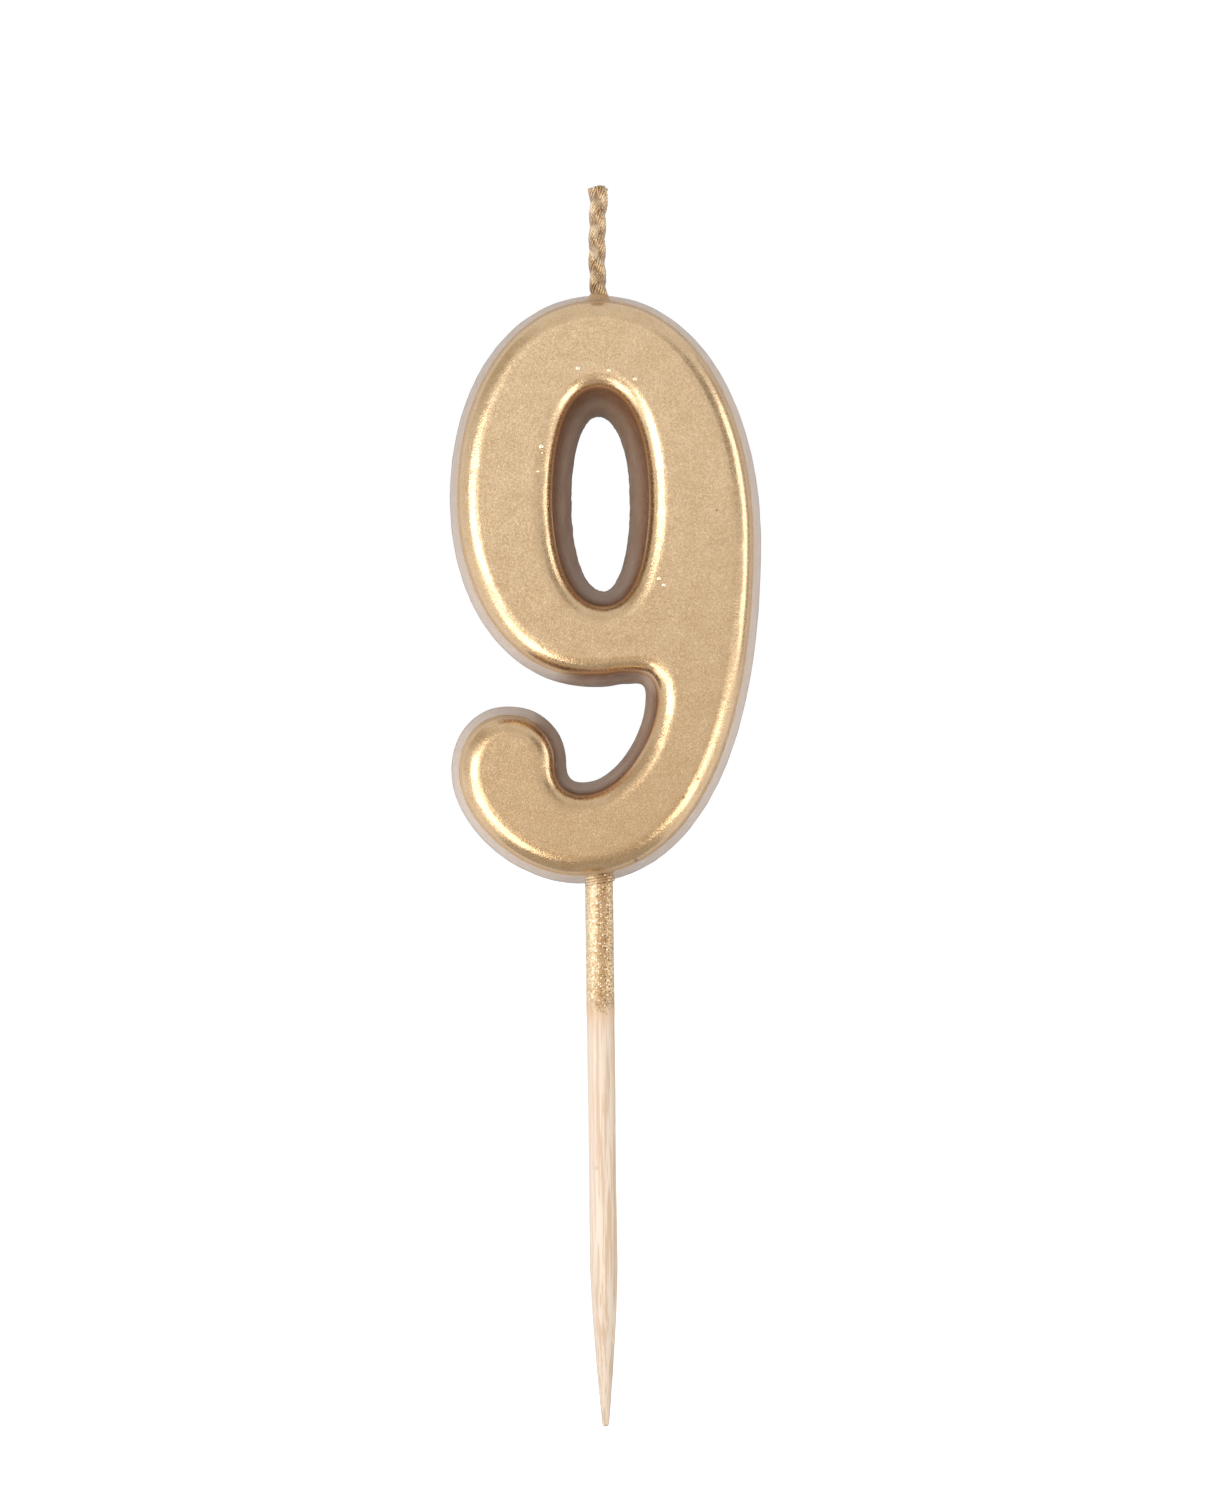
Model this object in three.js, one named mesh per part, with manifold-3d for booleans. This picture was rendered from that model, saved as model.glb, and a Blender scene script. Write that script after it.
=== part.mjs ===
import * as THREE from "three";
import { mergeVertices, toCreasedNormals } from "three/addons/utils/BufferGeometryUtils.js";
import Module from "manifold-3d";

const wasm = await Module();
wasm.setup();

// A birthday candle in the shape of a nine, cast in wax with a flat back, leaning sides and rounded
// shoulders, and lacquered gold from the front. A plaited wick follows the stroke inside the wax, and
// a wooden pick stands in the foot.
// Millimetres, +Z up, the face towards -Y. The origin is on the pick's axis, level with the foot.

// Heights of the nine, stacked upwards from its foot
const tailThickness = 9.4; // foot to the floor of the notch
const hookSideRise = 1.8; // from there to where the hook's inner side stands upright
const hookTopRise = 5.3; // from there to the top of the hook
const hookGap = 1.8; // top of the hook to the underside of the bowl
const bowlFloor = 8.9; // underside of the bowl to the bottom of the counter
const counterHeight = 16.3;
const archThickness = 11.3; // top of the counter to the crown

// Widths of the nine, from its left edge to its right
const leftStroke = 11.3;
const counterWidth = 5.5;
const stemStroke = 12.2;
const pickFromLeft = 13.9; // left edge of the bowl to the pick's axis
const hookSetback = 0.15; // how much less the hook reaches left than the bowl
const hookWidth = 10.7;
const notchWidth = 7.4; // hook to stem

// Where the edge of the nine turns, and how full its fuller and slacker curves are
const bowlWaistDrop = 18.9; // crown to the bowl's widest point
const stemWaistDrop = 23.1; // crown to the stem's widest point
const hookWaistHeight = 10.5; // foot to the hook's widest point
const hookTopInset = 5.3; // left edge of the hook to its top
const footBeforePick = 1.9; // lowest point of the tail to the pick's axis
const bowlBeforePick = 0.6; // lowest point of the bowl to the pick's axis
const notchFloorInset = 1.6; // hook's inner side to the floor of the notch
const notchCornerWidth = 0.95;
const notchCornerHeight = 1.2;
const notchRoofLift = 0.3; // roof of the notch above the underside of the bowl
const roundFullness = 0.58; // handle length as a share of a curve's width and height
const stemFullness = 0.63;
const tailFullness = 0.49;
const hookFullness = 0.7;
const notchFloorFullness = 0.47;
const notchSideFullness = 0.79;

// The counter, which opens towards the face
const counterLean = 0.5; // how far its bottom lies to the right of its top
const counterWaistDrop = 8; // its top to its widest point
const counterTopFlare = 2.3; // how much higher its top is at the shoulder than at the back
const counterSideFlare = 1.75;
const counterBottomFlare = 1.5;

// Depth and sides of the casting
const bodyDepth = 8.5;
const sideDraft = 1.1; // how far the outer wall leans in by the shoulder
const shoulderRadius = 1.8;
const backEdgeRadius = 0.4;
const tightestTurn = 0.9; // share of the edge's own radius that draft and shoulder may use up

// Gold lacquer
const lacquerGap = 0.04;
const faceFilm = 0.1;
const faceFilmReach = 0.6; // how far it runs down the wall past the shoulder
const pickFilm = 0.06;
const pickFilmLength = 11.2; // below the foot
const pickFilmTuck = 1.6; // above the foot, inside the wax

// Wick
const wickLength = 9.9; // above the crown
const wickRadius = 0.87;
const strandRadius = 0.42;
const plaitDepth = 0.26; // how far a strand swings to the front and back
const plaitPitch = 5.3; // height of one strand's whole swing
const plaitTuck = 2.4; // how far the plait goes below the crown
const wickBow = 0.2; // how far the free wick bows to the left
const wickFray = 0.16; // how much further the strands stand apart at the cut end
const wickStraight = 1.2; // below the plait, before the wick turns along the stroke
const wickFirstTurn = 2.2; // top of the counter to where the wick joins the right-hand stroke
const wickEndRise = 2.6; // end of the wick above the floor of the notch

// Pick
const pickRadius = 1.25;
const pickBelowFoot = 50.2;
const pickHeadCover = 2.3; // wax between the pick's head and the floor of the notch
const pickHeadChamfer = 0.3;
const pickPointLength = 15.5;
const pickPointBelly = 4.8; // how much of the point's length stays nearly full width
const pickTipRadius = 0.32;
const pickLean = THREE.MathUtils.degToRad(0.72); // its point stands to the right

const seatGap = 0.2; // round the wick and the pick in the wax
const overrun = 1; // how far a cut runs past the surface that it opens

// Fineness
const stepsOnCurve = 10;
const stepsOnShoulder = 5;
const stepsOnBackEdge = 2;
const stepsOnStrand = 34;
const sidesOfStrand = 7;
const stepsOnWick = 32;
const sidesOfWick = 10;
const stepsOnPoint = 8;
const stepsOnTip = 3;
const sidesOfPick = 28;
const creaseAngle = 0.6;

// Places that follow from the sizes above
const hookSideZ = tailThickness + hookSideRise;
const hookTopZ = hookSideZ + hookTopRise;
const bowlZ = hookTopZ + hookGap;
const counterBottomZ = bowlZ + bowlFloor;
const counterTopZ = counterBottomZ + counterHeight;
const counterWaistZ = counterTopZ - counterWaistDrop;
const crownZ = counterTopZ + archThickness;
const notchRoofZ = bowlZ + notchRoofLift;
const notchSideZ = notchRoofZ - notchCornerHeight;
const leftX = -pickFromLeft;
const counterLeftX = leftX + leftStroke;
const counterRightX = counterLeftX + counterWidth;
const counterMiddleX = (counterLeftX + counterRightX) / 2;
const rightX = counterRightX + stemStroke;
const hookLeftX = leftX + hookSetback;
const hookRightX = hookLeftX + hookWidth;
const notchRightX = hookRightX + notchWidth;
const backY = bodyDepth / 2;
const wallBackY = backY - backEdgeRadius;
const faceY = -bodyDepth / 2;
const shoulderY = faceY + shoulderRadius;
const pickFilmRadius = pickRadius + lacquerGap + pickFilm;
const pickHeadZ = tailThickness - pickHeadCover;
const plaitSwing = wickRadius - strandRadius;

const shares = (steps) => Array.from({ length: steps + 1 }, (_, step) => step / steps);

// A turning point of an outline, where it runs level or upright, and how full the curve after it is.
const level = (x, z, full = roundFullness) => ({ at: new THREE.Vector2(x, z), upright: false, full });
const upright = (x, z, full = roundFullness) => ({ at: new THREE.Vector2(x, z), upright: true, full });

// The edge of the nine at its back, clockwise from the crown as seen from the front.
const edgeTurns = [
  level(0, crownZ),
  upright(rightX, crownZ - stemWaistDrop, stemFullness),
  level(-footBeforePick, 0, tailFullness),
  upright(hookLeftX, hookWaistHeight),
  level(hookLeftX + hookTopInset, hookTopZ),
  upright(hookRightX, hookSideZ, hookFullness),
  level(hookRightX + notchFloorInset, tailThickness, notchFloorFullness),
  upright(notchRightX, notchSideZ, notchSideFullness),
  level(notchRightX - notchCornerWidth, notchRoofZ),
  level(-bowlBeforePick, bowlZ),
  upright(leftX, crownZ - bowlWaistDrop),
];

// The edge of the counter, also clockwise, at a share `open` of its flare.
const counterTurns = (open) => [
  level(counterMiddleX - counterLean / 2, counterTopZ + counterTopFlare * open),
  upright(counterRightX + counterSideFlare * open, counterWaistZ),
  level(counterMiddleX + counterLean / 2, counterBottomZ - counterBottomFlare * open),
  upright(counterLeftX - counterSideFlare * open, counterWaistZ),
];

function handle(turn, neighbour, full) {
  const towards = turn.at.clone().lerp(neighbour.at, full);
  return turn.upright ? new THREE.Vector2(turn.at.x, towards.y) : new THREE.Vector2(towards.x, turn.at.y);
}

// Points round a chain of turns, and the direction to the right of travel at each of them.
function outline(turns) {
  const points = [];
  const rightward = [];
  turns.forEach((from, i) => {
    const to = turns[(i + 1) % turns.length];
    const start = handle(from, to, from.full);
    const end = handle(to, from, from.full);
    const curve = new THREE.CubicBezierCurve(from.at, start, end, to.at);
    for (const share of shares(stepsOnCurve).slice(0, -1)) {
      const along = curve.getTangent(share);
      points.push(curve.getPoint(share));
      rightward.push(new THREE.Vector2(along.y, -along.x));
    }
  });
  return { points, rightward };
}

// How far each point of a clockwise edge can be drawn in before the edge folds over itself.
function roomInside(points) {
  return points.map((point, i) => {
    const before = points.at(i - 1);
    const after = points[(i + 1) % points.length];
    const turn = point.clone().sub(before).cross(after.clone().sub(point));
    const sides = before.distanceTo(point) * point.distanceTo(after) * after.distanceTo(before);
    return turn < 0 ? (tightestTurn * sides) / (2 * -turn) : Infinity;
  });
}

// A leaning wall of the casting: its edge at the back and at the shoulder, the way into the wax from
// each point, and how much of that way the shoulder may take.
function makeWall(back, front, inward, room, draft) {
  return { back, front, inward, room, lean: Math.atan2(draft, wallBackY - shoulderY) };
}

function makeEdgeWall() {
  const { points, rightward } = outline(edgeTurns);
  const front = points.map((point, i) => point.clone().addScaledVector(rightward[i], sideDraft));
  const room = roomInside(points).map((whole) => whole - sideDraft);
  return makeWall(points, front, rightward, room, sideDraft);
}

function makeCounterWall() {
  const back = outline(counterTurns(0));
  const front = outline(counterTurns(1));
  const inward = front.rightward.map((direction) => direction.clone().negate());
  const room = inward.map(() => Infinity);
  return makeWall(back.points, front.points, inward, room, counterSideFlare);
}

// A ring of points on a wall: `open` is its share of the lean, `inset` how far it lies inside that.
function ring(wall, { open, inset, y }) {
  return wall.back.map((back, i) => {
    const at = back.clone().lerp(wall.front[i], open);
    at.addScaledVector(wall.inward[i], Math.min(inset, wall.room[i]));
    return new THREE.Vector3(at.x, y, at.y);
  });
}

// Stations for such rings: on the rounded edge at the back, on the wall, and over the shoulder. The
// last two can lie `lift` outside the wax.
const backEdgeStations = shares(stepsOnBackEdge).map((share) => ({
  open: 0,
  inset: backEdgeRadius * (1 - Math.sin((share * Math.PI) / 2)),
  y: wallBackY + backEdgeRadius * Math.cos((share * Math.PI) / 2),
}));

function wallStation(wall, y, lift) {
  const shoulderStartY = shoulderY - shoulderRadius * Math.sin(wall.lean);
  return { open: (wallBackY - y) / (wallBackY - shoulderStartY), inset: -lift / Math.cos(wall.lean), y };
}

function shoulderStations(wall, lift) {
  return shares(stepsOnShoulder).map((share) => {
    const angle = THREE.MathUtils.lerp(wall.lean, Math.PI / 2, share);
    const radius = shoulderRadius + lift;
    const inset = shoulderRadius * Math.cos(wall.lean) - radius * Math.cos(angle);
    return { open: 1, inset, y: shoulderY - radius * Math.sin(angle) };
  });
}

// Triangles across a flat end with a hole in it. The two starts are the rings' places in the mesh.
function endTriangles(outer, hole, outerStart, holeStart, toFront) {
  const flat = (points) => points.map((point) => new THREE.Vector2(point.x, point.z));
  const both = [...flat(outer), ...flat(hole)];
  const index = (i) => (i < outer.length ? outerStart + i : holeStart + i - outer.length);
  return THREE.ShapeUtils.triangulateShape(flat(outer), [flat(hole)]).flatMap(([a, b, c]) => {
    const turn = both[b].clone().sub(both[a]).cross(both[c].clone().sub(both[a]));
    return turn > 0 === toFront ? [index(a), index(b), index(c)] : [index(a), index(c), index(b)];
  });
}

// A closed mesh through rings of points, with a hole through rings of its own. Both lists of rings run
// from the back to the front, and every ring runs clockwise as seen from the front.
function piercedLoft(outerRings, holeRings) {
  const index = [];
  const addBand = (first, second, count, facesOut) => {
    for (let i = 0; i < count; i++) {
      const next = (i + 1) % count;
      const [a, b, c, d] = [first + i, first + next, second + next, second + i];
      index.push(...(facesOut ? [a, d, c, a, c, b] : [a, b, c, a, c, d]));
    }
  };
  const outerCount = outerRings[0].length;
  const holeCount = holeRings[0].length;
  const holeStart = outerRings.length * outerCount;
  const last = outerRings.length - 1;
  for (let i = 0; i < last; i++) {
    addBand(i * outerCount, (i + 1) * outerCount, outerCount, true);
    addBand(holeStart + i * holeCount, holeStart + (i + 1) * holeCount, holeCount, false);
  }
  const lastHoleStart = holeStart + last * holeCount;
  index.push(...endTriangles(outerRings[0], holeRings[0], 0, holeStart, false));
  index.push(...endTriangles(outerRings[last], holeRings[last], last * outerCount, lastHoleStart, true));
  const places = [...outerRings.flat(), ...holeRings.flat()].flatMap((point) => point.toArray());
  const geometry = new THREE.BufferGeometry();
  geometry.setAttribute("position", new THREE.Float32BufferAttribute(places, 3));
  geometry.setIndex(index);
  return geometry;
}

function toSolid(geometry) {
  const bare = geometry.clone();
  bare.deleteAttribute("normal");
  bare.deleteAttribute("uv");
  const merged = mergeVertices(bare);
  const vertProperties = new Float32Array(merged.attributes.position.array);
  const triVerts = new Uint32Array(merged.index.array);
  return new wasm.Manifold(new wasm.Mesh({ numProp: 3, vertProperties, triVerts }));
}

function toGeometry(solid) {
  const { vertProperties, triVerts } = solid.getMesh();
  const geometry = new THREE.BufferGeometry();
  geometry.setAttribute("position", new THREE.BufferAttribute(vertProperties, 3));
  geometry.setIndex(new THREE.BufferAttribute(triVerts, 1));
  return geometry;
}

function tube(points, radius, sides) {
  const circle = new THREE.EllipseCurve(0, 0, radius, radius);
  const section = new THREE.Shape(circle.getPoints(sides).slice(0, sides));
  const extrudePath = new THREE.CatmullRomCurve3(points);
  return new THREE.ExtrudeGeometry(section, { steps: points.length - 1, extrudePath, bevelEnabled: false });
}

// A turned piece on the Z axis, from its profile of radius and height.
const turned = (profile) => new THREE.LatheGeometry(profile, sidesOfPick).rotateX(Math.PI / 2);

const edgeWall = makeEdgeWall();
const counterWall = makeCounterWall();

// The places where an outline at mid-depth passes the height z.
function crossings(wall, z) {
  const points = ring(wall, wallStation(wall, 0, 0));
  return points.flatMap((point, i) => {
    const next = points[(i + 1) % points.length];
    const share = (z - point.z) / (next.z - point.z);
    return point.z > z === next.z > z ? [] : [THREE.MathUtils.lerp(point.x, next.x, share)];
  });
}

// The middle of the right-hand stroke beside the counter or the notch.
function strokeMiddle(z) {
  const across = [...crossings(edgeWall, z), ...crossings(counterWall, z)].sort((a, b) => a - b);
  const [inner, outer] = across.slice(-2);
  return new THREE.Vector3((inner + outer) / 2, 0, z);
}

// The wick's way through the wax, from above the crown to past its end.
function wickTrack() {
  const plaitEndZ = crownZ - plaitTuck;
  const line = new THREE.CatmullRomCurve3([
    new THREE.Vector3(0, 0, crownZ + overrun),
    new THREE.Vector3(0, 0, plaitEndZ),
    new THREE.Vector3(0, 0, plaitEndZ - wickStraight),
    strokeMiddle(counterTopZ - wickFirstTurn),
    strokeMiddle(counterWaistZ),
    strokeMiddle(notchSideZ),
    strokeMiddle(tailThickness + wickEndRise),
  ]);
  return line.getSpacedPoints(stepsOnWick);
}

// One strand of the plait, which swings from side to side and over and under the other two.
function strand(phase) {
  const points = shares(stepsOnStrand).map((share) => {
    const z = THREE.MathUtils.lerp(crownZ - plaitTuck, crownZ + wickLength, share);
    const free = Math.max(0, (z - crownZ) / wickLength);
    const angle = ((z - crownZ) / plaitPitch + phase) * 2 * Math.PI;
    const swing = plaitSwing + wickFray * free ** 6;
    const x = swing * Math.sin(angle) - wickBow * Math.sin(free * Math.PI);
    return new THREE.Vector3(x, plaitDepth * Math.sin(2 * angle), z);
  });
  return toSolid(tube(points, strandRadius, sidesOfStrand));
}

function makeWick() {
  const coreTop = new THREE.Vector3(0, 0, crownZ - plaitTuck / 2);
  const buried = wickTrack().filter((point) => point.z < coreTop.z - strandRadius);
  const core = toSolid(tube([coreTop, ...buried.slice(0, -1)], wickRadius, sidesOfWick));
  return strand(0).add(strand(1 / 3)).add(strand(2 / 3)).add(core);
}

function makePickSocket() {
  const radius = pickFilmRadius + seatGap;
  const top = pickHeadZ + seatGap;
  const profile = [[0, -overrun], [radius, -overrun], [radius, top], [0, top]];
  const socket = turned(profile.map(([x, z]) => new THREE.Vector2(x, z)));
  return toSolid(socket.rotateY(-pickLean));
}

function makeNumeral() {
  const rings = (wall) =>
    [...backEdgeStations, ...shoulderStations(wall, 0)].map((station) => ring(wall, station));
  const casting = toSolid(piercedLoft(rings(edgeWall), rings(counterWall)));
  const wickChannel = toSolid(tube(wickTrack(), wickRadius + seatGap, sidesOfWick));
  return casting.subtract(wickChannel).subtract(makePickSocket());
}

// The space in front of the wall at `endY`, out to `lift` from the wax.
function faceCover(lift, endY) {
  const rings = (wall) =>
    [wallStation(wall, endY, lift), ...shoulderStations(wall, lift)].map((station) => ring(wall, station));
  return toSolid(piercedLoft(rings(edgeWall), rings(counterWall)));
}

function makeFaceFilm() {
  const endY = shoulderY + faceFilmReach;
  return faceCover(lacquerGap + faceFilm, endY).subtract(faceCover(lacquerGap, endY + overrun));
}

function makePick() {
  const tipZ = -pickBelowFoot;
  const pointZ = tipZ + pickPointLength;
  const tipCentreZ = tipZ + pickTipRadius;
  const tip = new THREE.EllipseCurve(0, tipCentreZ, pickTipRadius, pickTipRadius, -Math.PI / 2, 0);
  const point = new THREE.QuadraticBezierCurve(
    new THREE.Vector2(pickTipRadius, tipCentreZ),
    new THREE.Vector2(pickRadius, pointZ - pickPointBelly),
    new THREE.Vector2(pickRadius, pointZ),
  );
  return turned([
    new THREE.Vector2(0, tipZ),
    ...tip.getPoints(stepsOnTip).slice(1, -1),
    ...point.getPoints(stepsOnPoint),
    new THREE.Vector2(pickRadius, pickHeadZ - pickHeadChamfer),
    new THREE.Vector2(pickRadius - pickHeadChamfer, pickHeadZ),
    new THREE.Vector2(0, pickHeadZ),
  ]);
}

function makePickFilm() {
  const inside = pickRadius + lacquerGap;
  return turned([
    new THREE.Vector2(inside, -pickFilmLength),
    new THREE.Vector2(pickFilmRadius, -pickFilmLength),
    new THREE.Vector2(pickFilmRadius, pickFilmTuck),
    new THREE.Vector2(inside, pickFilmTuck),
    new THREE.Vector2(inside, -pickFilmLength),
  ]);
}

function addPiece(parent, name, geometry, color, roughness, metalness) {
  const material = new THREE.MeshStandardMaterial({ color, roughness, metalness });
  const mesh = new THREE.Mesh(toCreasedNormals(geometry, creaseAngle), material);
  mesh.name = name;
  parent.add(mesh);
}

const group = new THREE.Group();
const leaning = new THREE.Group();
leaning.rotation.y = -pickLean;
group.add(leaning);

addPiece(group, "wax_numeral", toGeometry(makeNumeral()), "#c8b8ab", 0.45, 0);
addPiece(group, "gold_face_lacquer", toGeometry(makeFaceFilm()), "#d1b58f", 0.38, 0.85);
addPiece(group, "wick", toGeometry(makeWick()), "#d8c7a6", 0.9, 0);
addPiece(leaning, "wooden_pick", makePick(), "#e6ccb0", 0.65, 0);
addPiece(leaning, "pick_gold_lacquer", makePickFilm(), "#c3a274", 0.45, 0.8);

export default group;
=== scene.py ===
import bmesh, bpy, math, random
from mathutils import Matrix, Vector, geometry, noise


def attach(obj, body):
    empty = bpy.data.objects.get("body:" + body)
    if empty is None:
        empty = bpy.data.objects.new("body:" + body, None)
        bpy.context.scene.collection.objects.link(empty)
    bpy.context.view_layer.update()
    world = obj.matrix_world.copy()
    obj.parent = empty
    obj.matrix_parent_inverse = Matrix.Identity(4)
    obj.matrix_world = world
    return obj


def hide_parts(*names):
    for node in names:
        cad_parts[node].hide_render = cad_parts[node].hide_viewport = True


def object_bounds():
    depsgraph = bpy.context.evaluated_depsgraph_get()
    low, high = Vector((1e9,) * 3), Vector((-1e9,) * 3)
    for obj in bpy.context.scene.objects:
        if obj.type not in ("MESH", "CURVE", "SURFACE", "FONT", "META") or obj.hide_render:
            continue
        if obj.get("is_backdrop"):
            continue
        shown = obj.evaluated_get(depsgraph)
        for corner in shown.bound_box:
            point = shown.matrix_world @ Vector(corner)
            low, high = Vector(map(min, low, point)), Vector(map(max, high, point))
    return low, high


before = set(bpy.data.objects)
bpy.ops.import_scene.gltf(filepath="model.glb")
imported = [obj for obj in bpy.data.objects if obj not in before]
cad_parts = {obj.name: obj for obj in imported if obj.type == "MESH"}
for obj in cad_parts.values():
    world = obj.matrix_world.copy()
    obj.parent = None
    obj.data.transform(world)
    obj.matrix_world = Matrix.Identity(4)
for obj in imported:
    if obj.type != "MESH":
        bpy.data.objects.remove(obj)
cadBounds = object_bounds()
mm = 0.001


def flatNumbers(value):   # nested vectors as plain lists of numbers
    return value if isinstance(value, (int, float)) else [flatNumbers(part) for part in value]


# camera: level, straight at the face, at the photograph's distance and framing
view = dict(distance=640, aimX=0.42, aimZ=12.45, frameHeight=138.9, sensor=36)


def placeCamera():
    lens = view["sensor"] * view["distance"] / view["frameHeight"]
    camera = bpy.data.objects.new("camera", bpy.data.cameras.new("camera"))
    camera.data.lens = lens
    camera.data.sensor_width = view["sensor"]
    camera.location = Vector((view["aimX"], -view["distance"], view["aimZ"])) * mm
    camera.rotation_euler = (math.radians(90), 0, 0)
    bpy.context.scene.collection.objects.link(camera)
    bpy.context.scene.camera = camera


placeCamera()
print("camera placed")


# shader sockets that can be reckoned with, and a material made of them
class Wire:
    def __init__(self, finish, socket):
        self.finish, self.socket = finish, socket

    def reckon(self, operation, first, second):
        return self.finish.node("ShaderNodeMath", dict(operation=operation), {0: first, 1: second})

    def __add__(self, other): return self.reckon("ADD", self, other)
    def __radd__(self, other): return self.reckon("ADD", other, self)
    def __sub__(self, other): return self.reckon("SUBTRACT", self, other)
    def __rsub__(self, other): return self.reckon("SUBTRACT", other, self)
    def __mul__(self, other): return self.reckon("MULTIPLY", self, other)
    def __rmul__(self, other): return self.reckon("MULTIPLY", other, self)
    def __truediv__(self, other): return self.reckon("DIVIDE", self, other)
    def __pow__(self, other): return self.reckon("POWER", self, other)
    def atLeast(self, other): return self.reckon("MAXIMUM", self, other)

    def ease(self, low, high, toLow=0.0, toHigh=1.0):   # a smooth step from low to high
        settings = dict(interpolation_type="SMOOTHSTEP")
        values = {"Value": self, "From Min": low, "From Max": high, "To Min": toLow, "To Max": toHigh}
        return self.finish.node("ShaderNodeMapRange", settings, values)


class Finish:
    def __init__(self, name, tree=None):
        if tree is None:
            self.material = bpy.data.materials.new(name)
            self.material.use_nodes = True
            tree = self.material.node_tree
        self.tree = tree

    def node(self, kind, settings=None, values=None, output=0):
        made = self.tree.nodes.new(kind)
        for key, value in (settings or {}).items():
            setattr(made, key, value)
        for key, value in (values or {}).items():
            self.plug(made.inputs[key], value)
        return Wire(self, made.outputs[output])

    def plug(self, socket, value):
        if isinstance(value, Wire):
            self.tree.links.new(value.socket, socket)
        elif hasattr(value, "__len__") and len(socket.default_value) == 4 and len(value) == 3:
            socket.default_value = (*value, 1)
        else:
            socket.default_value = value

    def shade(self, **values):   # the principled shader's sockets, by name with _ for a space
        shader = self.tree.nodes["Principled BSDF"]
        for key, value in values.items():
            self.plug(shader.inputs[key.replace("_", " ")], value)

    def place(self, scale=(1, 1, 1)):   # object coordinates, in millimetres
        coordinates = self.node("ShaderNodeTexCoord", output="Object")
        return self.node("ShaderNodeMapping", None, {"Vector": coordinates, "Scale": [part / mm for part in scale]})

    def axes(self, vector):
        return [self.node("ShaderNodeSeparateXYZ", None, {0: vector}, output) for output in range(3)]

    def grain(self, vector, scale, detail=3, roughness=0.55, distortion=0):
        values = {"Vector": vector, "Scale": scale, "Detail": detail, "Roughness": roughness, "Distortion": distortion}
        return self.node("ShaderNodeTexNoise", None, values)

    def cells(self, vector, scale, output="Distance"):
        return self.node("ShaderNodeTexVoronoi", None, {"Vector": vector, "Scale": scale}, output)

    def blend(self, share, first, second):   # the numbers are the mix node's sockets for colours
        return self.node("ShaderNodeMix", dict(data_type="RGBA"), {0: share, 6: first, 7: second}, 2)

    def bump(self, height, strength, distance, normal=None):
        values = {"Height": height, "Strength": strength, "Distance": distance * mm}
        if normal:
            values["Normal"] = normal
        return self.node("ShaderNodeBump", None, values)


def colour(red, green, blue):   # from the 0 to 255 values seen on screen
    def linear(value):
        share = value / 255
        return share / 12.92 if share <= 0.04045 else ((share + 0.055) / 1.055) ** 2.4
    return tuple(linear(value) for value in (red, green, blue))


# meshes
def finishMesh(name, mesh, material):
    mesh.normal_update()
    data = bpy.data.meshes.new(name)
    mesh.to_mesh(data)
    mesh.free()
    data.shade_smooth()
    data.materials.append(material)
    made = bpy.data.objects.new(name, data)
    bpy.context.scene.collection.objects.link(made)
    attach(made, "root")
    return made


def turnRing(mesh, profile, steps):   # a closed outline of radius and height in millimetres, turned once round
    verts = [mesh.verts.new((radius * mm, 0, height * mm)) for radius, height in profile]
    edges = [mesh.edges.new(pair) for pair in zip(verts, verts[1:] + verts[:1])]
    made = bmesh.ops.spin(mesh, geom=verts + edges, axis=(0, 0, 1), cent=(0, 0, 0), angle=math.tau,
                          steps=steps, use_merge=True)["geom_last"]
    ring = set(verts) | {part for part in made if isinstance(part, bmesh.types.BMVert)}
    reached = list(ring)
    while reached:
        vert = reached.pop()
        fresh = [edge.other_vert(vert) for edge in vert.link_edges if edge.other_vert(vert) not in ring]
        ring.update(fresh)
        reached += fresh
    ring = [vert for vert in ring if vert.is_valid]
    bmesh.ops.recalc_face_normals(mesh, faces=list({face for vert in ring for face in vert.link_faces}))
    return ring


def faceVerts(faces):
    return list({vert for face in faces for vert in face.verts})


# the nine: turning points of its edge at the back, clockwise from the crown, in millimetres
nine = dict(
    edge=[("level", 0, 54.8, 0.58), ("upright", 15.1, 31.7, 0.63), ("level", -1.9, 0, 0.49),
          ("upright", -13.75, 10.5, 0.58), ("level", -8.45, 16.5, 0.58), ("upright", -3.05, 11.2, 0.7),
          ("level", -1.45, 9.4, 0.47), ("upright", 4.35, 17.4, 0.79), ("level", 3.4, 18.6, 0.58),
          ("level", -0.6, 18.3, 0.58), ("upright", -13.9, 35.9, 0.58)],
    counter=[("level", -0.1, 43.5, 0.58), ("upright", 2.9, 35.5, 0.58),
             ("level", 0.4, 27.2, 0.58), ("upright", -2.6, 35.5, 0.58)],
    back=4.25, face=-4.25, backEdge=0.4, draft=1.1, shoulder=1.8,
    extraFlare=(0.65, 1.2, 0.4),   # of the counter beyond the draft: sides, top, bottom
    stepsOnCurve=36, stepsOnWall=7, stepsOnShoulder=12, stepsOnBackEdge=4, stepsOnCollar=48, flatMargin=0.12,
    filmLift=0.02, film=0.03, filmEnd=2.2,   # the lacquer ends this far behind the shoulder
    counterMiddle=(0.15, 35.4), counterReach=(3.5, 8.7),
    flash=0.14, flashScale=2.6, waver=0.06, waverScale=0.7,   # how ragged the back edge is, in the counter and outside
    collar=[(0.3, 53.3), (1.9, 53.7), (1.36, 53.97), (1.1, 54.18), (0.96, 54.38), (0.89, 54.56),
            (0.8, 54.66), (0.55, 54.7), (0.3, 54.7)],   # wax drawn up round the foot of the wick: radius, height
)


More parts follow.
